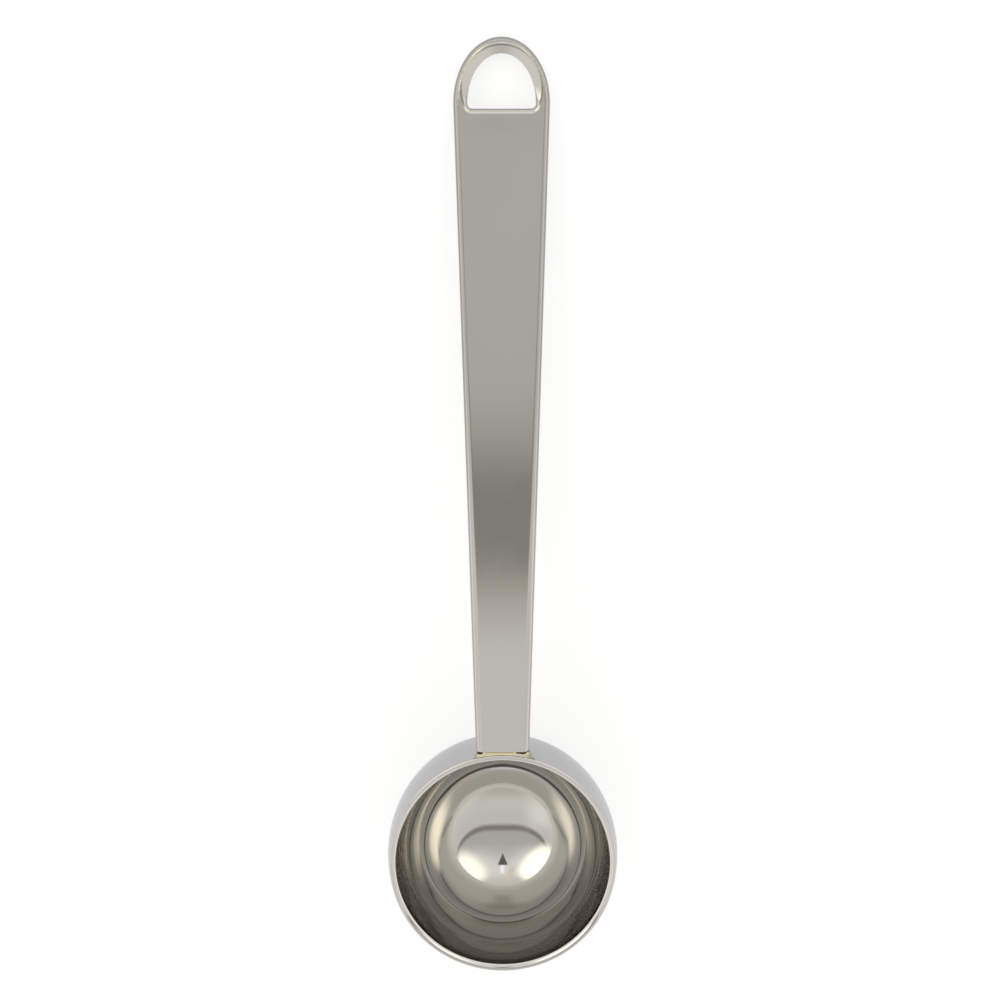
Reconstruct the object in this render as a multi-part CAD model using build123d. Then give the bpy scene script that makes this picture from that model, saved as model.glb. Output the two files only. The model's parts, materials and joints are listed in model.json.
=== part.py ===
from build123d import *
import math
import os

# A long-handled measuring spoon, in millimetres.
# Each piece is drawn level, with the lip of the bowl on Z = 0, the bowl's axis on Z and the strap along +Y.
# The spoon is then laid down as it rests on a table: on the bottom of its bowl and the tip of its strap.

# Bowl: a deep cup, drawn from sheet
rim_radius = 21.6            # outside of the lip
belly_bulge = 0.65           # how far the cup swells past its lip
belly_depth = 7.2            # from the lip down to the widest ring
dome_depth = 22.4            # from the widest ring down to the outside of the bottom
base_radius = 2.3            # of the small flat in the middle of the bottom
bowl_wall = 0.9
lip_outer_bevel = 0.2
lip_inner_round = 0.45

# Strap: a solid bar that widens towards its tip
strap_reach = 154.5          # from the bowl's axis to the tip
strap_thickness = 3.0
strap_drop = 0.2             # from the lip down to the strap's front face
joint_half_width = 5.05      # at the end that meets the bowl
tip_half_width = 8.66        # where the rounded tip begins
tip_crown = 11.6             # height of the rounded tip
front_round = 1.3
back_round = 0.9

# Eye: a D-shaped hole through the tip, with a bevel round its arch
eye_side_bar = 2.51          # metal left beside the hole
eye_top_bar = 2.9            # metal left above the hole
eye_sill = 1.0               # from the hole's widest line down to its straight edge
eye_corner = 0.9
eye_front_round = 1.0
eye_back_round = 0.5
bevel_side = 1.05            # width of the bevel beside the hole
bevel_top = 1.45             # width of the bevel above the hole
bevel_lift = 2.5             # from the hole's widest line up to the bevel's
bevel_angle = 60.0           # degrees from upright

# Braze: brass filler between the strap's flat end and the bowl's wall
braze_gap = 0.05             # from the widest ring of the bowl to the strap's end
braze_recess = 0.05          # from the strap's skin in to the filler's
braze_neck = 0.5             # length over which the filler keeps to the strap's section
braze_flare = 0.55           # how far the filler spreads past the strap's skin where it wets the wall
braze_reach = 2.2            # length of the filler before the bowl's wall cuts it

# Places that several pieces share
belly_radius = rim_radius + belly_bulge
side_radius = (belly_depth**2 + belly_bulge**2) / (2 * belly_bulge)
dome_reach = belly_radius - base_radius
dome_radius = (2 * side_radius * dome_reach - dome_reach**2 - dome_depth**2) / (2 * (side_radius - dome_depth))
dome_height = dome_radius - dome_depth - belly_depth
strap_start = belly_radius + braze_gap
strap_front = -strap_drop
strap_back = strap_front - strap_thickness
eye_line = strap_reach - tip_crown
eye_half_width = tip_half_width - eye_side_bar
eye_crown = tip_crown - eye_top_bar


def skin(inset):
    """Half the outline of one skin of the cup, from the axis up to the lip: flat base, round dome, leaning side."""
    turn = math.degrees(math.acos((dome_depth - dome_radius) / (side_radius - dome_radius)))
    dome = CenterArc((base_radius, dome_height), dome_radius - inset, 270, turn)
    side = TangentArc(dome @ 1, (rim_radius - inset, 0), tangent=dome % 1)
    bottom = (0, inset - dome_depth - belly_depth)
    Line(bottom, dome @ 0)
    return bottom, side @ 1


def lip_corners(section):
    """The corners of the wall's section at the lip, the inner one first."""
    return section.vertices().group_by(Axis.Y)[-1].sort_by(Axis.X)


def bowl():
    """The drawn cup: an even wall, with a lip that is crisp outside and soft inside."""
    with BuildSketch() as wall:
        with BuildLine():
            outer_bottom, outer_lip = skin(0)
            inner_bottom, inner_lip = skin(bowl_wall)
            Line(outer_lip, inner_lip)
            Line(inner_bottom, outer_bottom)
        make_face()
        chamfer(lip_corners(wall)[-1], lip_outer_bevel)
        fillet(lip_corners(wall)[0], lip_inner_round)
    return revolve(Plane.XZ * wall.sketch, Axis.Z)


def bowl_outside():
    """The whole body that the outside of the bowl encloses."""
    with BuildSketch() as body:
        with BuildLine():
            bottom, lip = skin(0)
            Polyline(lip, (0, 0), bottom)
        make_face()
    return revolve(Plane.XZ * body.sketch, Axis.Z)


def strap_plan():
    """Plan of the strap: straight sides that spread to the tip, closed by half an ellipse."""
    spread = (tip_half_width - joint_half_width) / (eye_line - strap_start)
    touch = math.degrees(math.atan(spread * tip_crown / tip_half_width))
    corner = (joint_half_width, strap_start)
    far_corner = (-joint_half_width, strap_start)
    with BuildSketch(Plane.XY.offset(strap_back)) as plan:
        with BuildLine():
            tip = EllipticalCenterArc((0, eye_line), tip_half_width, tip_crown, -touch, arc_size=180 + 2 * touch)
            Polyline(tip @ 1, far_corner, corner, tip @ 0)
        make_face()
    return plan.sketch


def arch(half_width, crown, widest_line):
    """An elliptical arch on the strap's front face, standing on the eye's straight edge."""
    straight_edge = eye_line - eye_sill
    below = math.degrees(math.asin((widest_line - straight_edge) / crown))
    with BuildSketch(Plane.XY.offset(strap_front)) as outline:
        with BuildLine():
            top = EllipticalCenterArc((0, widest_line), half_width, crown, -below, arc_size=180 + 2 * below)
            Line(top @ 1, top @ 0)
        make_face()
    return outline.sketch


def long_edges(face):
    """The edges round a face of the strap, without the straight one at the joint."""
    return face.edges().sort_by(Axis.Y)[1:]


def strap():
    """The solid bar, with the edges of both faces rounded but for its flat end."""
    bar = extrude(strap_plan(), amount=strap_thickness)
    bar = fillet(long_edges(bar.faces().sort_by(Axis.Z)[-1]), front_round)
    return fillet(long_edges(bar.faces().sort_by(Axis.Z)[0]), back_round)


def eye_edges(face):
    """The edges of the one hole in a face of the strap."""
    return face.inner_wires()[0].edges()


def handle():
    """The strap with its eye: a D-shaped hole with soft edges, opened by a bevel round its arch."""
    hole = arch(eye_half_width, eye_crown, eye_line)
    hole = fillet(hole.vertices(), eye_corner)
    bar = strap() - extrude(hole, amount=-strap_thickness)
    bar = fillet(eye_edges(bar.faces().sort_by(Axis.Z)[-1]), eye_front_round)
    bar = fillet(eye_edges(bar.faces().sort_by(Axis.Z)[0]), eye_back_round)
    mouth = arch(eye_half_width + bevel_side, eye_crown + bevel_top - bevel_lift, eye_line + bevel_lift)
    return bar - extrude(mouth, amount=-strap_thickness, taper=bevel_angle)


def filler_section(behind, grow):
    """The strap's section, moved from its end towards the bowl and grown all round."""
    middle = (0, strap_start - behind, strap_front - strap_thickness / 2)
    outline = RectangleRounded(2 * (joint_half_width + grow), strap_thickness + 2 * grow, front_round + grow)
    return Plane(middle, x_dir=(1, 0, 0), z_dir=(0, -1, 0)) * outline


def braze_seam():
    """The brass in the joint: it keeps to the strap's section, then flares along the wall below the lip."""
    filler = loft([
        filler_section(0, -braze_recess),
        filler_section(braze_neck, -braze_recess / 2),
        filler_section(braze_reach, braze_flare),
    ])
    filler = split(filler, Plane.XY.offset(strap_front - braze_recess), keep=Keep.BOTTOM)
    return filler - bowl_outside()


def rest_angle():
    """The slope in degrees of the line that touches the dome of the bowl and the back of the tip from below."""
    length = strap_reach - back_round - base_radius
    height = strap_back + back_round - dome_height
    spread = math.asin((dome_radius - back_round) / math.hypot(length, height))
    return math.degrees(math.atan2(height, length) + spread)


def laid_down(pieces):
    """The pieces at rest on Z = 0, with the middle of the spoon's length over the origin."""
    turned = {name: Rot(X=-rest_angle()) * piece for name, piece in pieces.items()}
    box = Compound(list(turned.values())).bounding_box()
    place = Pos(0, -box.center().Y, -box.min.Z)
    print(f"rest angle {rest_angle():.4f} degrees, then moved by {place.position}")
    return {name: place * piece for name, piece in turned.items()}


def main():
    os.makedirs("parts", exist_ok=True)
    pieces = {"bowl": bowl(), "handle": handle(), "braze_seam": braze_seam()}
    for name, piece in laid_down(pieces).items():
        export_step(piece, f"parts/{name}.step")
        print(f"{name}: {len(piece.solids())} solid, {piece.volume:.1f} cubic mm, box {piece.bounding_box()}")


main()
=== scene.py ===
# %% [markdown]
# # A measuring spoon in polished steel
#
# The real spoon is three parts: a deep cup drawn from stainless sheet, a solid strap that is cut out, bevelled and
# polished, and a little brass that joins them. The solids come from the construction file and stay where they are.
# What is added here is what a solid model can't say: surfaces smooth enough for a mirror, the run of the filler,
# the finishes, and a studio for the mirror to reflect. How the parts were made is read from one photograph, so what
# these cells say about it is likely rather than known.

import json
import math

import bpy
from mathutils import Matrix, Vector


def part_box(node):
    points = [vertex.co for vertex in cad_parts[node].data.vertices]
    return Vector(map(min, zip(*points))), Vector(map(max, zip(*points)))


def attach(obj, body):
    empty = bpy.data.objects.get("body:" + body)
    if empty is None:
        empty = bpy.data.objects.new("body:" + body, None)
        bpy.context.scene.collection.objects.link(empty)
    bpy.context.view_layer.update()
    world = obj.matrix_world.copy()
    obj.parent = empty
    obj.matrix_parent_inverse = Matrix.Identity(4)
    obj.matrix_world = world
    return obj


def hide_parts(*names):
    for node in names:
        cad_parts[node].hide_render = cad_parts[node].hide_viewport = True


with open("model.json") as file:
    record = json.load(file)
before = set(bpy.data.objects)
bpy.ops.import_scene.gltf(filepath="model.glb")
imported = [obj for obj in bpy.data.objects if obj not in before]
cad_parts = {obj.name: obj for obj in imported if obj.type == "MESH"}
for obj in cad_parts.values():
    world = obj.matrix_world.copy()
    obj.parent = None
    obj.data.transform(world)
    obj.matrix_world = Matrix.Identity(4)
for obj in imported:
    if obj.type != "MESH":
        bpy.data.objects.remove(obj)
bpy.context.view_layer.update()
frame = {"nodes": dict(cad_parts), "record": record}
MM = 0.001
for node in frame["nodes"]:
    low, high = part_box(node)
    print(node, [round((b - a) / MM, 2) for a, b in zip(low, high)], "mm")

# %% [markdown]
# The spoon lies on the table and leans on the bottom of its bowl, so nothing on it is level. It is easier to model
# level, with the middle of the lip at the origin and the strap along Y, and to lay the mesh down afterwards. The
# record keeps the middle of the lip and the bowl's axis, and these two say how the spoon was laid down.

# %% The way from the level drawing to the spoon at rest
rim_mount = next(m for m in frame["record"]["mounts"] if m["name"] == "bowl_rim")
axis = Vector(rim_mount["axis"]).normalized()
LEAN = math.atan2(axis.y, axis.z)
REST = Matrix.Translation(rim_mount["pos_m"]) @ Matrix.Rotation(-LEAN, 4, "X")
print("the spoon leans", round(math.degrees(LEAN), 2), "degrees")


# %% [markdown]
# A node tree is easier to read as a list of nodes than as a screen of wires. One small function adds a node, sets
# its settings and fills its inputs: a socket given as an input becomes a link, anything else becomes its value.
# A second one does sums: it takes any number of values and works through them two at a time. Colours are written as
# the hex values that a paint chart would give, and a third function turns them to linear light.

# %% Helpers for materials
def fill(tree, socket, value):
    """Links a socket to the input, or sets a value as its default."""
    if isinstance(value, bpy.types.NodeSocket):
        tree.links.new(value, socket)
    else:
        socket.default_value = value


def add(tree, kind, inputs=(), **settings):
    node = tree.nodes.new(kind)
    for name, value in settings.items():
        setattr(node, name, value)
    for key, value in dict(inputs).items():
        fill(tree, node.inputs[key], value)
    return node


def sums(tree, operation, first, *others):
    """Adds or multiplies, or does another sum of two values: the result so far and the next value."""
    total = first
    for value in others:
        total = add(tree, "ShaderNodeMath", {0: total, 1: value}, operation=operation).outputs[0]
    return total


def unsigned(tree, value):
    return add(tree, "ShaderNodeMath", {0: value}, operation="ABSOLUTE").outputs[0]


def linear(code, level=1.0):
    parts = [int(code[i:i + 2], 16) / 255 for i in (1, 3, 5)]
    light = [c / 12.92 if c <= 0.04045 else ((c + 0.055) / 1.055) ** 2.4 for c in parts]
    return (*[c * level for c in light], 1.0)


def blended(tree, amount, first, second):
    """Mixes two colours: the amount is 0 for the first and 1 for the second."""
    mix = add(tree, "ShaderNodeMix", data_type="RGBA")
    for socket, value in ((mix.inputs["Factor"], amount), (mix.inputs[6], first), (mix.inputs[7], second)):
        fill(tree, socket, value)
    return mix.outputs[2]


def ranged(tree, value, start, stop, low, high):
    """Maps the values between start and stop to the range from low to high."""
    spread = add(tree, "ShaderNodeMapRange", {
        "Value": value, "From Min": start, "From Max": stop, "To Min": low, "To Max": high,
    })
    return spread.outputs["Result"]


def new_tree(owner):
    owner.use_nodes = True
    owner.node_tree.nodes.clear()
    return owner.node_tree


# %% [markdown]
# The photograph looks down from beyond the strap's tip, aimed at the middle of the spoon, with a lens a little longer
# than normal. The lip's ellipse gives the angle and the strap's length the distance: the camera stands about 0.37
# metres above the table and looks about 21 degrees away from straight down. Its place and its turn are given in the
# level drawing, like everything else, and laid down with the spoon.

# %% Camera
CAMERA_PLACE = (-0.41 * MM, 140.2 * MM, 370.4 * MM)  # from the middle of the lip, in the level drawing
CAMERA_TILT, CAMERA_ROLL = math.radians(-10.6), math.radians(-0.1)
camera_data = bpy.data.cameras.new("camera")
camera_data.lens = 73.44
camera = bpy.data.objects.new("camera", camera_data)
bpy.context.collection.objects.link(camera)
turned = Matrix.Rotation(CAMERA_TILT, 4, "X") @ Matrix.Rotation(CAMERA_ROLL, 4, "Z")
camera.matrix_world = REST @ Matrix.Translation(CAMERA_PLACE) @ turned
camera_data.clip_start = 0.01
bpy.context.scene.camera = camera
print("camera at", [round(c / MM, 1) for c in camera.matrix_world.translation], "mm")

# %% [markdown]
# Polished steel has almost no colour of its own: what the eye reads as steel is the room. So the studio is the
# first material of a mirror. It could be a few lamps, but lamps leave black between them, and the photograph shows
# a soft grey everywhere. Here one large card hangs over the spoon, square to the bowl's axis, and its colour is
# drawn by nodes: a white sweep with a dark edge, a grey ceiling, a soft box on each side and a few smaller panels.
# The card is hidden from the camera, so that views from above still see the spoon.


# %% Soft-edged panels for the ceiling card
def soft_panel(tree, place, under, centre, half, soft, colour, level=1.0, turn=0.0, rounded=False):
    """Lays a panel with soft edges over the colour under it, and returns the new colour."""
    local = add(tree, "ShaderNodeMapping", {
        "Vector": place, "Location": (*centre, 0), "Rotation": (0, 0, math.radians(turn)), "Scale": (*half, 1),
    }, vector_type="TEXTURE")
    outer = [1 + s / h for s, h in zip(soft, half)]
    inner = [1 - s / h for s, h in zip(soft, half)]
    if rounded:
        far = add(tree, "ShaderNodeVectorMath", {0: local.outputs[0]}, operation="LENGTH")
        mask = add(tree, "ShaderNodeMapRange", {
            "Value": far.outputs["Value"], "From Min": outer[0], "From Max": inner[0],
        }, interpolation_type="SMOOTHSTEP")
        amount = mask.outputs["Result"]
    else:
        away = add(tree, "ShaderNodeVectorMath", {0: local.outputs[0]}, operation="ABSOLUTE")
        mask = add(tree, "ShaderNodeMapRange", data_type="FLOAT_VECTOR", interpolation_type="SMOOTHSTEP")
        vectors = [s for s in mask.inputs if s.type == "VECTOR"]
        tree.links.new(away.outputs[0], vectors[0])
        for socket, value in zip(vectors[1:], ((*outer, 1), (*inner, 0), (0, 0, 0), (1, 1, 1))):
            socket.default_value = value
        sides = add(tree, "ShaderNodeSeparateXYZ", {0: [s for s in mask.outputs if s.type == "VECTOR"][0]})
        amount = sums(tree, "MULTIPLY", sides.outputs["X"], sides.outputs["Y"])
    return blended(tree, amount, under, linear(colour, level))


# %% The ceiling card
CARD_HEIGHT = 1.78      # metres above the lip
CARD_WIDTH = 8.0
SWEEP_BEND = 0.19       # how far the sweep's edge has curved away, one metre to the side
SWEEP_POWER = 2.4
SWEEP_STOPS = (         # metres along the card, from behind the bowl to past the strap's tip
    (-1.600, "#fbfbf6"), (-1.050, "#f3f3ee"), (-0.600, "#ebebe7"), (-0.420, "#ecedea"),
    (-0.385, "#dad6d4"), (-0.350, "#c3beb2"), (-0.333, "#9f9e9c"), (-0.240, "#9e9c9b"),
    (-0.212, "#b8b8b3"), (-0.150, "#d2d2ce"), (0.200, "#d5d5d1"), (0.450, "#e2e2de"),
    (0.800, "#f4f4f0"), (1.500, "#fffffa"), (1.800, "#f6f5f0"), (2.400, "#eeede6"),
)
SWEEP_FROM, SWEEP_TO = SWEEP_STOPS[0][0], SWEEP_STOPS[-1][0]
bpy.ops.object.select_all(action="DESELECT")
bpy.ops.mesh.primitive_plane_add(size=CARD_WIDTH)
card = bpy.context.object
card.name = "ceiling_card"
card.matrix_world = REST @ Matrix.Translation((0, 0, CARD_HEIGHT))
card.visible_camera = False
card_look = bpy.data.materials.new("studio_ceiling")
tree = new_tree(card_look)
place = add(tree, "ShaderNodeTexCoord").outputs["Object"]
axes = add(tree, "ShaderNodeSeparateXYZ", {0: place})
bend = sums(tree, "POWER", unsigned(tree, axes.outputs["X"]), SWEEP_POWER)
line = add(tree, "ShaderNodeMath", {0: bend, 1: -SWEEP_BEND, 2: axes.outputs["Y"]}, operation="MULTIPLY_ADD")
along = add(tree, "ShaderNodeMapRange", {"Value": line.outputs[0], "From Min": SWEEP_FROM, "From Max": SWEEP_TO})
ramp = add(tree, "ShaderNodeValToRGB", {"Fac": along.outputs["Result"]})
stops = ramp.color_ramp.elements
while len(stops) < len(SWEEP_STOPS):
    stops.new(0.5)
for stop, (where, code) in zip(stops, SWEEP_STOPS):
    stop.position = (where - SWEEP_FROM) / (SWEEP_TO - SWEEP_FROM)
for stop, (where, code) in zip(stops, SWEEP_STOPS):  # only now, since a stop that moves can change places
    stop.color = linear(code)
colour = ramp.outputs["Color"]
PANELS = (
    # what it is            centre         half size     soft edge      colour     level turn  round
    ("window side",         (-1.2, -0.85), (0.50, 0.45), (0.40, 0.30), "#fcfcf7", 1.10,  0.0, False),
    ("far glow",            (0.15, 1.25),  (0.90, 0.35), (0.50, 0.40), "#fbfbf7", 1.15,  0.0, False),
    ("right glow",          (1.10, 1.10),  (0.55, 0.55), (0.50, 0.45), "#f6f6f3", 1.30,  0.0, False),
    ("right soft box",      (1.48, 1.42),  (0.74, 0.76), (0.34, 0.34), "#fffcee", 2.00,  0.0, True),
    ("left glow",           (-1.10, 1.00), (0.50, 0.55), (0.45, 0.40), "#f8faf8", 1.40,  0.0, False),
    ("left soft box",       (-1.58, 1.24), (0.88, 0.88), (0.28, 0.26), "#fff9e6", 2.45,  0.0, True),
    ("tan strip",           (-0.31, 1.55), (0.11, 0.50), (0.08, 0.20), "#f8f0e2", 1.08, -4.0, False),
    ("grey far end",        (0.0, -2.60),  (0.70, 1.40), (0.50, 0.35), "#dedbd4", 1.00,  0.0, False),
    ("reflector",           (0.01, 1.24),  (0.06, 0.22), (0.06, 0.10), "#f1f1ff", 1.75,  0.0, False),
)
for name, centre, half, soft, code, level, turn, rounded in PANELS:
    colour = soft_panel(tree, place, colour, centre, half, soft, code, level, turn, rounded)
glow = add(tree, "ShaderNodeEmission", {"Color": colour, "Strength": 1.0})
add(tree, "ShaderNodeOutputMaterial", {"Surface": glow.outputs[0]})
card.data.materials.append(card_look)
print("ceiling card:", len(PANELS), "panels,", len(tree.nodes), "nodes")

# %% [markdown]
# The small dark wedge in the middle of the cup is taken to be the camera and its stand, and so is the thin dark ring,
# where light comes back to the camera after two mirrorings. A box of a camera's size would show in the strap's tip
# as well, and the photograph shows nothing there. So one thin dark flag on edge stands in for it: the strap sees
# nothing of it and the cup sees it in full. Its size was found by comparing with the wedge.

# %% The dark flag at the camera
FLAG_WIDTH, FLAG_HEIGHT = 50 * MM, 250 * MM
FLAG_X = -0.5 * MM
FLAG_BELOW = 128 * MM   # from the camera down to the triangle's lower edge
bpy.ops.object.select_all(action="DESELECT")
bpy.ops.mesh.primitive_circle_add(vertices=3, radius=1.0, fill_type="NGON")
flag = bpy.context.object
flag.name = "camera_flag"
flag_middle = (FLAG_X, CAMERA_PLACE[1], CAMERA_PLACE[2] + FLAG_HEIGHT / 3 - FLAG_BELOW)
on_edge = Matrix.Rotation(math.pi / 2, 4, "X") @ Matrix.Diagonal((FLAG_WIDTH / math.sqrt(3), FLAG_HEIGHT / 1.5, 1, 1))
flag.matrix_world = REST @ Matrix.Translation(flag_middle) @ on_edge
flag.visible_camera = False
flag_look = bpy.data.materials.new("dark_flag")
tree = new_tree(flag_look)
dark = add(tree, "ShaderNodeEmission", {"Color": linear("#767372"), "Strength": 1.0})
add(tree, "ShaderNodeOutputMaterial", {"Surface": dark.outputs[0]})
flag.data.materials.append(flag_look)
print("dark flag:", round(FLAG_WIDTH / MM), "by", round(FLAG_HEIGHT / MM), "mm")

# %% [markdown]
# The table is pure white in the photograph. A white that bright from lamps alone would burn the steel out, so the
# camera and the mirrors see a table that glows a little by itself, and the part of its white that comes from the
# lamps is what the spoon's shadow takes away. The world beyond the card is a pale wall that is brightest down at the
# horizon: that brings out the lip and softens the place where one mirroring in the cup becomes two.

# %% Table and world
TABLE_GLOW, TABLE_GLOW_MIRRORED = 0.68, 0.45
WALL_AT_HORIZON, WALL_ABOVE, WALL_FADE = 1.5, 0.97, 0.45   # two strengths, and the height where the second starts
bpy.ops.object.select_all(action="DESELECT")
bpy.ops.mesh.primitive_plane_add(size=CARD_WIDTH)
table = bpy.context.object
table.name = "table"
table_look = bpy.data.materials.new("white_table")
tree = new_tree(table_look)
path = add(tree, "ShaderNodeLightPath")
plain = add(tree, "ShaderNodeBsdfDiffuse", {"Color": linear("#e6e6e4")})
shaded = add(tree, "ShaderNodeBsdfDiffuse", {"Color": linear("#a8a8aa")})
white = add(tree, "ShaderNodeEmission", {"Color": linear("#ffffff"), "Strength": TABLE_GLOW})
grey = add(tree, "ShaderNodeEmission", {"Color": linear("#f4f5ff"), "Strength": TABLE_GLOW_MIRRORED})
surface = plain
for ray, light in (("Is Glossy Ray", grey), ("Is Camera Ray", white)):
    glowing = add(tree, "ShaderNodeAddShader", {0: shaded.outputs[0], 1: light.outputs[0]})
    choice = {0: path.outputs[ray], 1: surface.outputs[0], 2: glowing.outputs[0]}
    surface = add(tree, "ShaderNodeMixShader", choice)
add(tree, "ShaderNodeOutputMaterial", {"Surface": surface.outputs[0]})
table.data.materials.append(table_look)

world = bpy.data.worlds.new("studio_walls")
bpy.context.scene.world = world
tree = new_tree(world)
path = add(tree, "ShaderNodeLightPath")
rise = add(tree, "ShaderNodeSeparateXYZ", {0: add(tree, "ShaderNodeTexCoord").outputs["Object"]}).outputs["Z"]
fade = ranged(tree, rise, 0.0, WALL_FADE, WALL_AT_HORIZON, WALL_ABOVE)
walls = add(tree, "ShaderNodeBackground", {"Color": linear("#fdfdf8"), "Strength": fade})
white = add(tree, "ShaderNodeBackground", {"Color": linear("#ffffff"), "Strength": 1.0})
both = add(tree, "ShaderNodeMixShader", {0: path.outputs["Is Camera Ray"], 1: walls.outputs[0], 2: white.outputs[0]})
add(tree, "ShaderNodeOutputWorld", {"Surface": both.outputs[0]})

# %% [markdown]
# Light goes round inside a deep mirror cup many times before it leaves. The usual four mirror bounces would leave
# the cup's lower wall black, so more are allowed.

# %% Light paths
scene = bpy.context.scene
scene.view_settings.view_transform = "Standard"
scene.cycles.max_bounces = 16
scene.cycles.glossy_bounces = 14
print("mirror bounces:", scene.cycles.glossy_bounces)

# %% [markdown]
# ## The cup
#
# On the real spoon the cup is drawn from a disc of sheet over a punch and polished on a spindle, so it is a body of
# revolution with an even wall. It could be a sphere that is cut and squashed, but its outline is made of arcs: a
# small flat base, a nearly round dome, and a side that leans in to the lip. A single point that is extruded and
# spun about each arc's centre draws just that outline, and one spin about the axis makes the cup. A mirror shows
# every facet, so all arcs are cut into steps of the same small turn.

# %% Sizes of the cup, in metres
RIM, BULGE, BELLY_DEPTH, DOME_DEPTH = 21.6 * MM, 0.65 * MM, 7.2 * MM, 22.4 * MM
BASE, WALL, LIP_BEVEL, LIP_FLAT = 2.3 * MM, 0.9 * MM, 0.16 * MM, 0.2 * MM
LIP_SOFT, LIP_SOFT_TURN, LIP_EDGE = 1.15 * MM, math.radians(54), 0.18 * MM  # the rolled edge, then its tight end
SWELL_DEPTH = 6.5 * MM                         # from the lip down to where the wall is even
HAUNCH, HAUNCH_TURN, FLOOR_TURN = 23.0 * MM, math.radians(20.5), math.radians(5.4)
FACET = math.radians(1.5)
AROUND = 360                                   # facets round the axis
SMALL = 0.01 * MM                              # how far off a point may be and still count
BELLY = RIM + BULGE
SIDE = (BELLY_DEPTH**2 + BULGE**2) / (2 * BULGE)
REACH = BELLY - BASE
DOME = (2 * SIDE * REACH - REACH**2 - DOME_DEPTH**2) / (2 * (SIDE - DOME_DEPTH))
DOME_MIDDLE = Vector((BASE, 0, DOME - DOME_DEPTH - BELLY_DEPTH))
SIDE_MIDDLE = Vector((BELLY - SIDE, 0, -BELLY_DEPTH))
DOME_TURN = math.acos((DOME_DEPTH - DOME) / (SIDE - DOME))
LIP_LEAN = math.asin(BELLY_DEPTH / SIDE)
print("side radius", round(SIDE / MM, 2), "mm, dome radius", round(DOME / MM, 2), "mm")


# %% Drawing with one point
def start_point(name, at):
    """A new mesh of one selected point, left in edit mode."""
    bpy.ops.object.select_all(action="DESELECT")
    bpy.ops.mesh.primitive_plane_add(size=MM, location=at)
    made = bpy.context.object
    made.name = made.data.name = name
    bpy.ops.object.transform_apply(location=True)
    bpy.ops.object.mode_set(mode="EDIT")
    bpy.ops.mesh.select_all(action="SELECT")
    bpy.ops.mesh.merge(type="CENTER")
    return made


def draw_to(step):
    bpy.ops.mesh.extrude_region_move(TRANSFORM_OT_translate={"value": step})


def draw_arc(middle, turn):
    """Carries the point round the middle: a positive turn goes up the outside, a negative one down the inside."""
    bpy.ops.mesh.spin(steps=max(6, round(abs(turn) / FACET)), angle=turn, center=middle, axis=(0, 1, 0))


def select_points(made, test):
    """Selects the points whose place passes the test."""
    bpy.ops.mesh.select_all(action="DESELECT")
    bpy.ops.object.mode_set(mode="OBJECT")
    for v in made.data.vertices:
        v.select = test(v.co)
    bpy.ops.object.mode_set(mode="EDIT")


# %% [markdown]
# The inside isn't quite the outside moved in. The lip's broad bright band fits an inner edge that is rolled over
# softly, and the distances between the reflections in the floor fit one that is a little flatter and thinner than
# the rest, as a punch may leave it. Both show only in a mirror, and both sizes come from comparing renders with the
# photograph. The arc below the lip must touch the soft edge above it and the even wall under it, so its lean is
# found in a few rounds.

# %% The arcs of the inner skin
def down(angle):
    """The direction that leans away from straight down by an angle."""
    return Vector((math.sin(angle), 0, -math.cos(angle)))


ROUNDS = 20
soft_middle = Vector((RIM - LIP_FLAT, 0, -LIP_SOFT))
edge_middle = soft_middle + (LIP_SOFT - LIP_EDGE) * down(math.pi + LIP_SOFT_TURN)
side_lean = math.asin((BELLY_DEPTH - SWELL_DEPTH) / (SIDE - WALL))
outward = down(math.pi / 2 + side_lean)
swell_end = SIDE_MIDDLE + (SIDE - WALL) * outward
swell_lean = side_lean
for attempt in range(ROUNDS):
    inner_lip = edge_middle + LIP_EDGE * down(3 * math.pi / 2 + swell_lean)
    across = inner_lip - swell_end
    swell_radius = -across.length_squared / (2 * across.dot(outward))
    swell_middle = swell_end - swell_radius * outward
    swell_lean = math.asin((inner_lip.z - swell_middle.z) / swell_radius)
print("lip's wall", round((RIM - inner_lip.x) / MM, 2), "mm, leaning", round(math.degrees(swell_lean), 1), "degrees")
haunch_middle = DOME_MIDDLE + (DOME - WALL - HAUNCH) * down(HAUNCH_TURN)
floor_edge = haunch_middle + HAUNCH * down(FLOOR_TURN)
floor_radius = floor_edge.x / math.sin(FLOOR_TURN)
floor_middle = floor_edge - floor_radius * down(FLOOR_TURN)
bottom = -DOME_DEPTH - BELLY_DEPTH
print("floor radius", round(floor_radius / MM, 2), "mm")
print("the bottom's wall", round((floor_middle.z - floor_radius - bottom) / MM, 2), "mm")

# %% The cup's section: outside up, over the lip, inside down
cup = start_point("cup", (0, 0, bottom))
draw_to((BASE - LIP_BEVEL, 0, 0))
draw_to((LIP_BEVEL, 0, 0))
draw_arc(DOME_MIDDLE, DOME_TURN)
draw_arc(SIDE_MIDDLE, math.pi / 2 - DOME_TURN + LIP_LEAN)
draw_to((-LIP_FLAT, 0, 0))
draw_arc(soft_middle, LIP_SOFT_TURN)
draw_arc(edge_middle, math.pi / 2 + swell_lean - LIP_SOFT_TURN)
draw_arc(swell_middle, side_lean - swell_lean)
draw_arc(SIDE_MIDDLE, DOME_TURN - math.pi / 2 - side_lean)
draw_arc(DOME_MIDDLE, HAUNCH_TURN - DOME_TURN)
draw_arc(haunch_middle, FLOOR_TURN - HAUNCH_TURN)
draw_arc(floor_middle, -FLOOR_TURN)
bpy.ops.object.mode_set(mode="OBJECT")
ends = [v.co / MM for v in cup.data.vertices if abs(v.co.x) < SMALL]
print("the section meets the axis at", [tuple(round(c, 3) for c in e) for e in ends], "mm")
print("lip at", round(max(v.co.z for v in cup.data.vertices) / MM, 4), "mm, points", len(cup.data.vertices))
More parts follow.
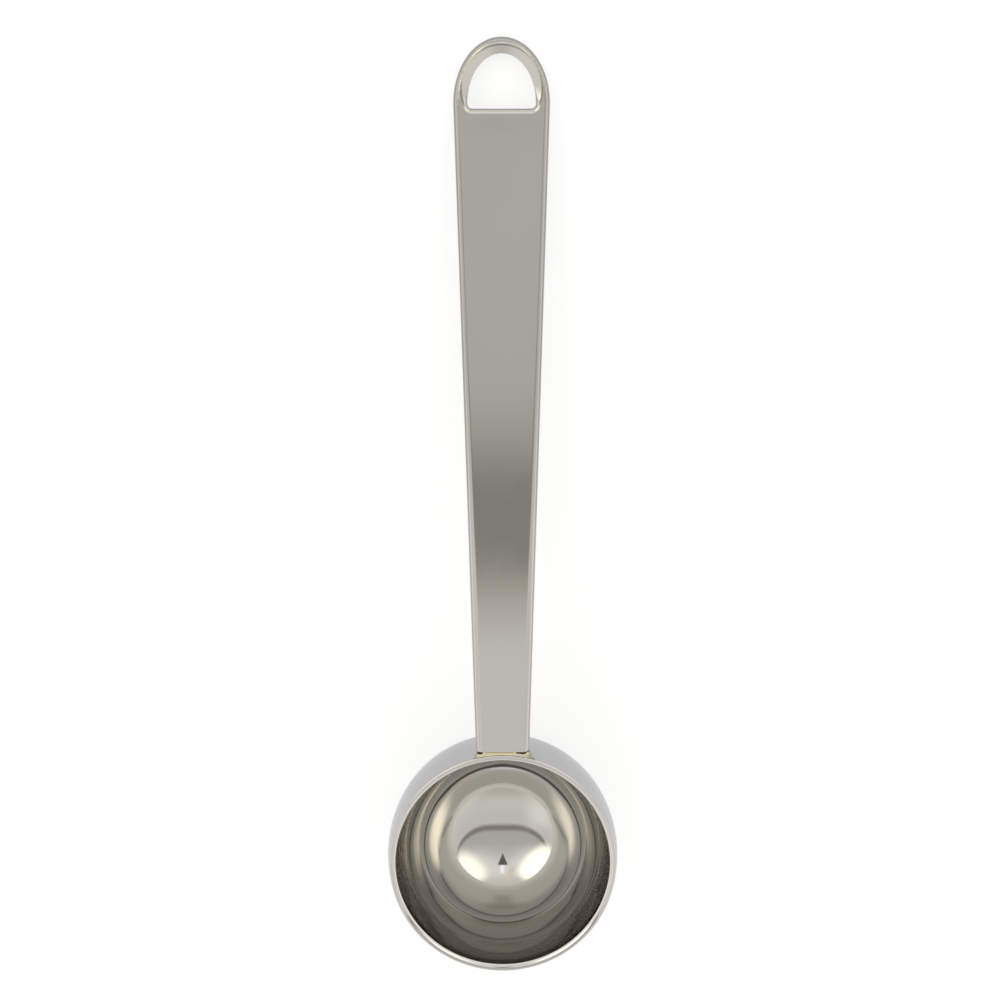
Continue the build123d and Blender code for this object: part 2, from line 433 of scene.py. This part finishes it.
bpy.ops.object.mode_set(mode="EDIT")

# %% Soften the lip and spin the section
select_points(cup, lambda co: abs(co.z) < SMALL and co.x > RIM - SMALL)
bpy.ops.mesh.bevel(offset=LIP_BEVEL, offset_type="OFFSET", segments=3, affect="VERTICES")
bpy.ops.mesh.select_all(action="SELECT")
bpy.ops.mesh.spin(steps=AROUND, angle=2 * math.pi, center=(0, 0, 0), axis=(0, 0, 1))
bpy.ops.mesh.select_all(action="SELECT")
bpy.ops.mesh.remove_doubles(threshold=MM / 500)
bpy.ops.mesh.normals_make_consistent(inside=False)
bpy.ops.object.mode_set(mode="OBJECT")
bpy.ops.object.shade_smooth_by_angle(angle=math.radians(40))
print("cup:", len(cup.data.vertices), "points,", len(cup.data.polygons), "faces")


# %% [markdown]
# ## The brass in the joint
#
# The strap's straight end stands against the round wall, so the gap is narrow in the middle and wide at both
# corners. Brass was drawn into it by heat: it fills the middle, spreads along the wall past the strap's sides, and
# leaves a few dark pits near the corners. The bead starts as a row of points along the wall. Each new row is the
# last one, drawn towards the strap's flat end, until the rows are straight. Then the sheet is given its depth.

# %% The bead of brass
WALL_TOP = 21.62 * MM                          # radius of the bowl's wall at the bead's height
STRAP_END = 22.31 * MM
STRAP_HALF = 5.0 * MM
BEAD_TOP, BEAD_DEPTH = -0.27 * MM, 2.85 * MM
SPREAD_LEFT, SPREAD_RIGHT = 6.0 * MM, 6.6 * MM  # how far the brass has run along the wall
COLUMNS, ROWS = 72, 8
NARROWING = 3                                  # the higher, the nearer the wall the rows take the strap's width
left, right = math.asin(SPREAD_LEFT / WALL_TOP), math.asin(SPREAD_RIGHT / WALL_TOP)
bead = start_point("brass_bead", (-SPREAD_LEFT, WALL_TOP * math.cos(left), BEAD_TOP))
bpy.ops.mesh.spin(steps=COLUMNS, angle=left + right, center=(0, 0, 0), axis=(0, 0, 1))
bpy.ops.object.mode_set(mode="OBJECT")
print("first row from", [round(v.co.x / MM, 2) for v in (bead.data.vertices[0], bead.data.vertices[-1])])
bpy.ops.object.mode_set(mode="EDIT")
bpy.ops.mesh.select_all(action="SELECT")
half = (SPREAD_LEFT + SPREAD_RIGHT) / 2
for row in range(ROWS):
    bpy.ops.mesh.extrude_region_move(TRANSFORM_OT_translate={"value": (0, 0, 0)})
    width = [half + (STRAP_HALF - half) * (1 - (1 - k / ROWS) ** NARROWING) for k in (row, row + 1)]
    depth = [1 - k / ROWS for k in (row, row + 1)]
    bpy.ops.transform.resize(
        value=(width[1] / width[0], depth[1] / depth[0], 1), center_override=(0, STRAP_END, BEAD_TOP),
    )
bpy.ops.mesh.select_all(action="SELECT")
bpy.ops.mesh.extrude_region_move(TRANSFORM_OT_translate={"value": (0, 0, -BEAD_DEPTH)})
bpy.ops.mesh.select_all(action="SELECT")
bpy.ops.mesh.normals_make_consistent(inside=False)

# %% [markdown]
# The filler's face sags between the wall and the strap, and the pits go deeper. Each is a small patch of points that
# is moved down, so a deep pit is a few patches of shrinking size.

# %% Sag and pits
SAGS = (
    # half width as a share of the gap, depth (mm)
    (0.34, 0.05),
    (0.24, 0.05),
)
PITS = (
    # x, from the strap's end, half width, depth (mm)
    (-4.25, 0.24, 0.66, 0.55),
    (3.00, 0.14, 0.80, 0.36),
    (3.95, 0.20, 0.85, 0.50),
)
PIT_HALF_LENGTH = 0.3   # mm, towards the strap
PIT_SHARES = (1.0, 0.75, 0.5)
UNEVEN = 0.012 * MM


def on_face(co):
    """Whether a point of the bead belongs to its upper face, the pits included."""
    return co.z > BEAD_TOP - 1.5 * MM


def wall_at(co):
    """Where the bowl's wall stands, level with a point of the bead."""
    return math.sqrt(WALL_TOP**2 - co.x**2)


def in_sag(co, reach):
    return on_face(co) and abs(co.y - (STRAP_END + wall_at(co)) / 2) < reach * (STRAP_END - wall_at(co))


def in_pit(co, x, back, reach, share):
    behind = (STRAP_END - co.y) / MM
    return on_face(co) and math.hypot((co.x / MM - x) / reach, (behind - back) / PIT_HALF_LENGTH) < share


for reach, deep in SAGS:
    select_points(bead, lambda co: in_sag(co, reach))
    bpy.ops.transform.translate(value=(0, 0, -deep * MM))
for x, back, reach, deep in PITS:
    for share in PIT_SHARES:
        select_points(bead, lambda co: in_pit(co, x, back, reach, share))
        bpy.ops.transform.translate(value=(0, 0, -deep * MM / len(PIT_SHARES)))
select_points(bead, lambda co: on_face(co) and co.y < STRAP_END - 2 * SMALL)
bpy.ops.transform.vertex_random(offset=UNEVEN, uniform=0.2, seed=7)
bpy.ops.object.mode_set(mode="OBJECT")
smooth = bead.modifiers.new("smooth", "SUBSURF")
smooth.levels = 1
bpy.ops.object.modifier_apply(modifier=smooth.name)
bpy.ops.object.shade_smooth_by_angle(angle=math.radians(50))
print("bead:", len(bead.data.vertices), "points,", len(bead.data.polygons), "faces")


# %% Lay the finished pieces down
def lay_down(piece):
    """Turns the mesh itself, so that the object stays at the origin."""
    piece.data.transform(REST)
    piece.data.update()
    low = [min(v.co[i] for v in piece.data.vertices) / MM for i in range(3)]
    high = [max(v.co[i] for v in piece.data.vertices) / MM for i in range(3)]
    print(piece.name, "from", [round(c, 2) for c in low], "to", [round(c, 2) for c in high], "mm")


lay_down(cup)
lay_down(bead)

# %% [markdown]
# ## Finishes
#
# All patterns are drawn in the level drawing's millimetres, so a number in a node is a size on the spoon. One
# function gives these coordinates, one gives a grey noise pattern of a given grain, and one joins a colour, a
# roughness and a relief into a metal.


# %% Helpers for the finishes
def level_place(tree):
    place = add(tree, "ShaderNodeTexCoord").outputs["Object"]
    level = add(tree, "ShaderNodeMapping", {
        "Vector": place, "Location": rim_mount["pos_m"], "Rotation": (-LEAN, 0, 0), "Scale": (MM, MM, MM),
    }, vector_type="TEXTURE")
    return level.outputs[0]


def grain(tree, place, size, detail=2.0, turn=(0, 0, 0)):
    """Noise whose blotches measure about the given millimetres along each axis."""
    spread = add(tree, "ShaderNodeMapping", {
        "Vector": place, "Rotation": turn, "Scale": size,
    }, vector_type="TEXTURE")
    noise = add(tree, "ShaderNodeTexNoise", {"Vector": spread.outputs[0], "Scale": 0.7, "Detail": detail})
    return noise.outputs[0]


def metal_of(tree, colour, roughness, relief, depth, metallic=1.0):
    """A metal whose relief, drawn from 0 to 1, is as deep as the given number of millimetres."""
    bump = add(tree, "ShaderNodeBump", {"Height": relief, "Distance": depth * MM, "Strength": 1.0})
    shader = add(tree, "ShaderNodeBsdfPrincipled", {
        "Base Color": colour, "Metallic": metallic, "Roughness": roughness, "Normal": bump.outputs[0],
    })
    add(tree, "ShaderNodeOutputMaterial", {"Surface": shader.outputs[0]})


def flat_place(tree, axes):
    """The place without its height."""
    return add(tree, "ShaderNodeCombineXYZ", {"X": axes.outputs["X"], "Y": axes.outputs["Y"]}).outputs[0]


def length_of(tree, vector):
    return add(tree, "ShaderNodeVectorMath", {0: vector}, operation="LENGTH").outputs["Value"]


# %% [markdown]
# The cup is stainless steel that was polished on a spindle: the wheel stayed put while the cup turned, so what is
# left are very faint rings about its axis. The sheet kept a soft waviness from drawing, a few hair scratches, and
# finger smudges that dull the mirror in patches. One even steel would come out a little too bright on the steep wall
# and too dark on the lip in this studio, so painted shade darkens the steep wall's colour and painted light brightens
# the lip's, with tones found by comparing with the photograph.

# %% Spindle-polished stainless steel
TILT_CENTRE = 9.8       # mm below the lip, about the dome's middle: tilts are angles from straight down, seen from it
RINGS = 260             # from the bottom of the cup to straight up
mirror = bpy.data.materials.new("spindle_polished_stainless_steel")
tree = new_tree(mirror)
level = level_place(tree)
axes = add(tree, "ShaderNodeSeparateXYZ", {0: level})
below = sums(tree, "SUBTRACT", -TILT_CENTRE, axes.outputs["Z"])
tilt = sums(tree, "ARCTAN2", length_of(tree, flat_place(tree, axes)), below)
rings = add(tree, "ShaderNodeTexNoise", {
    "W": ranged(tree, tilt, 0, math.pi, 0, RINGS), "Scale": 1.0, "Detail": 3.0,
}, noise_dimensions="1D").outputs[0]
smudges = grain(tree, level, (7, 7, 7), 4.0)
hairs = grain(tree, level, (0.05, 2.6, 0.05), 1.0, (0.3, 0.2, 0.5))
more_hairs = grain(tree, level, (2.2, 0.05, 0.05), 1.0, (0.1, -0.4, 0.2))
waves = grain(tree, level, (9, 9, 9), 1.0)
scratched = sums(tree, "ADD", ranged(tree, hairs, 0.70, 0.78, 0, 1), ranged(tree, more_hairs, 0.70, 0.78, 0, 1))
roughness = sums(
    tree, "ADD",
    ranged(tree, smudges, 0.35, 0.70, 0.036, 0.060),
    ranged(tree, rings, 0.3, 0.7, -0.006, 0.006),
    ranged(tree, scratched, 0, 1, 0, 0.05),
)
relief = sums(
    tree, "ADD",
    ranged(tree, waves, 0, 1, 0, 1.0),
    ranged(tree, rings, 0, 1, 0, 0.003),
    ranged(tree, scratched, 0, 1, 0, -0.002),
)
tone_with_painted_light_and_shade = blended(tree, smudges, linear("#c6c3bd"), linear("#cbc8c4"))
# painted shade: the steep wall is given a darker tone
tone_with_painted_light_and_shade = blended(tree, ranged(tree, tilt, 0.75, 0.95, 0, 1), tone_with_painted_light_and_shade, linear("#bcb9b4"))  # the steep wall
# painted light: the lip is given a lighter tone
tone_with_painted_light_and_shade = blended(tree, ranged(tree, tilt, 1.20, 1.40, 0, 1), tone_with_painted_light_and_shade, linear("#d0cecb"))  # the lip
metal_of(tree, tone_with_painted_light_and_shade, roughness, relief, 0.012)
cup.data.materials.append(mirror)
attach(cup, "root")
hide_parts("bowl")

# %% [markdown]
# The strap was ground flat on a belt and then buffed along its length. The grain is nearly gone: what is left are
# faint long lines, a slow waviness where the buff pressed harder, and handling marks. The edges and the bevel are
# more satin than the face: how far a place leans away from the strap's face says how satin it is. Two tones of
# painted shade stand in for form that the construction file's solid doesn't have: the outer edges, which look tighter
# in the photograph, are painted darker, and most so towards the tip, and a thin painted dark line of shade follows the
# crease where the bevel starts, drawn as an ellipse round the eye. For the rest the solid has the right shape, so it
# stays, and only its steel is made.

# %% Belt-polished stainless steel
CREASE_MIDDLE, CREASE_HALF_WIDTH, CREASE_CROWN = 145.4, 7.2, 7.65    # mm: Y of the ellipse's middle, and its size
CREASE_LINE = 1.005     # where the dark line lies, as a share of the ellipse's size
belt = bpy.data.materials.new("belt_polished_stainless_steel")
tree = new_tree(belt)
level = level_place(tree)
lines = grain(tree, level, (0.06, 14, 0.06), 3.0)
smudges = grain(tree, level, (6, 11, 6), 4.0)
hairs = grain(tree, level, (0.05, 3.0, 0.05), 1.0, (0, 0, 0.35))
waves = grain(tree, level, (6, 24, 6), 1.0)
scratched = ranged(tree, hairs, 0.72, 0.80, 0, 1)
facing = add(tree, "ShaderNodeVectorMath", {
    0: add(tree, "ShaderNodeNewGeometry").outputs["Normal"], 1: axis,
}, operation="DOT_PRODUCT").outputs["Value"]
roughness = sums(
    tree, "ADD",
    ranged(tree, smudges, 0.35, 0.70, 0.055, 0.085),
    ranged(tree, facing, 0.995, 0.95, 0, 0.14),
    ranged(tree, lines, 0.3, 0.7, -0.010, 0.012),
    ranged(tree, scratched, 0, 1, 0, 0.05),
)
relief = sums(
    tree, "ADD",
    ranged(tree, waves, 0, 1, 0, 1.0),
    ranged(tree, lines, 0, 1, 0, 0.006),
    ranged(tree, scratched, 0, 1, 0, -0.010),
)
axes = add(tree, "ShaderNodeSeparateXYZ", {0: level})
mouth = add(tree, "ShaderNodeMapping", {
    "Vector": flat_place(tree, axes), "Location": (0, CREASE_MIDDLE, 0), "Scale": (CREASE_HALF_WIDTH, CREASE_CROWN, 1),
}, vector_type="TEXTURE")
from_eye = length_of(tree, mouth.outputs[0])
# painted shade: the outer rounded edges are darkened, more towards the tip
edge_painted_shade = sums(
    tree, "MULTIPLY",
    ranged(tree, facing, 0.99, 0.955, 0, 1),                # not the face
    ranged(tree, facing, 0.05, 0.35, 0, 1),                 # nor the sides and the back
    ranged(tree, from_eye, 1.0, 1.03, 0, 1),                # nor the bevel and the eye
    ranged(tree, axes.outputs["Y"], 60, 95, 0.4, 1.0),      # and less towards the bowl
)
# painted shade: a thin dark line along the crease where the bevel starts, round the arch
beside = unsigned(tree, sums(tree, "SUBTRACT", from_eye, CREASE_LINE))
crease_painted_shade = sums(
    tree, "MULTIPLY",
    ranged(tree, beside, 0.03, 0.01, 0, 0.8),
    ranged(tree, axes.outputs["Y"], 141.5, 143.5, 0, 1),    # round the arch only
)
tone_with_painted_light_and_shade = blended(tree, smudges, linear("#c7c4be"), linear("#ccc9c5"))
# painted shade on the outer edges
tone_with_painted_light_and_shade = blended(tree, edge_painted_shade, tone_with_painted_light_and_shade, linear("#b0aea8"))
# painted shade in the crease
tone_with_painted_light_and_shade = blended(tree, crease_painted_shade, tone_with_painted_light_and_shade, linear("#85827b"))
metal_of(tree, tone_with_painted_light_and_shade, roughness, relief, 0.008)
frame["nodes"]["handle"].data.materials[0] = belt

# %% [markdown]
# The filler is brazing brass. Next to the strap it is pale yellow, towards the wall it is nearly as white as the
# steel, and past the strap's sides, where no wheel reached, it is a dull olive. The pits are made dark below a set
# depth and don't shine at all. One noise could mix all of these, but they follow the joint, so
# they are placed by ramps along its own axes and the noise only breaks them up.

# %% Brazing brass
brass = bpy.data.materials.new("brazing_brass")
tree = new_tree(brass)
level = level_place(tree)
axes = add(tree, "ShaderNodeSeparateXYZ", {0: level})
blotches = grain(tree, level, (0.9, 0.5, 0.5), 3.0)
specks = grain(tree, level, (0.16, 0.16, 0.16), 2.0)
heat = ranged(tree, blotches, 0.50, 0.68, 0, 1)
yellow = blended(tree, heat, linear("#e6dab0"), linear("#cdb98a"))
metal = blended(tree, ranged(tree, axes.outputs["Y"], 21.95, 21.55, 0, 1), yellow, linear("#d6d0bd"))
side = unsigned(tree, axes.outputs["X"])
metal = blended(tree, ranged(tree, side, 4.75, 5.15, 0, 1), metal, linear("#b3b199"))
deep = ranged(tree, axes.outputs["Z"], -0.44, -0.62, 0, 1)
# the pits: dark and dull below a set depth, inside the strap's width
dark_below_pit_depth = sums(tree, "MULTIPLY", deep, ranged(tree, side, 4.80, 5.00, 1, 0))
dark_pits_and_specks = sums(tree, "MAXIMUM", dark_below_pit_depth, ranged(tree, specks, 0.66, 0.74, 0, 0.25))
colour = blended(tree, dark_pits_and_specks, metal, linear("#2e2414"))
roughness = sums(tree, "ADD", ranged(tree, blotches, 0.3, 0.7, 0.18, 0.34), ranged(tree, dark_pits_and_specks, 0, 1, 0, 0.35))
relief = sums(tree, "ADD", blotches, ranged(tree, specks, 0, 1, 0, 0.25))
metal_of(tree, colour, roughness, relief, 0.008, metallic=ranged(tree, dark_pits_and_specks, 0, 1, 1, 0.1))
bead.data.materials.append(brass)
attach(bead, "root")
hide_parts("braze_seam")
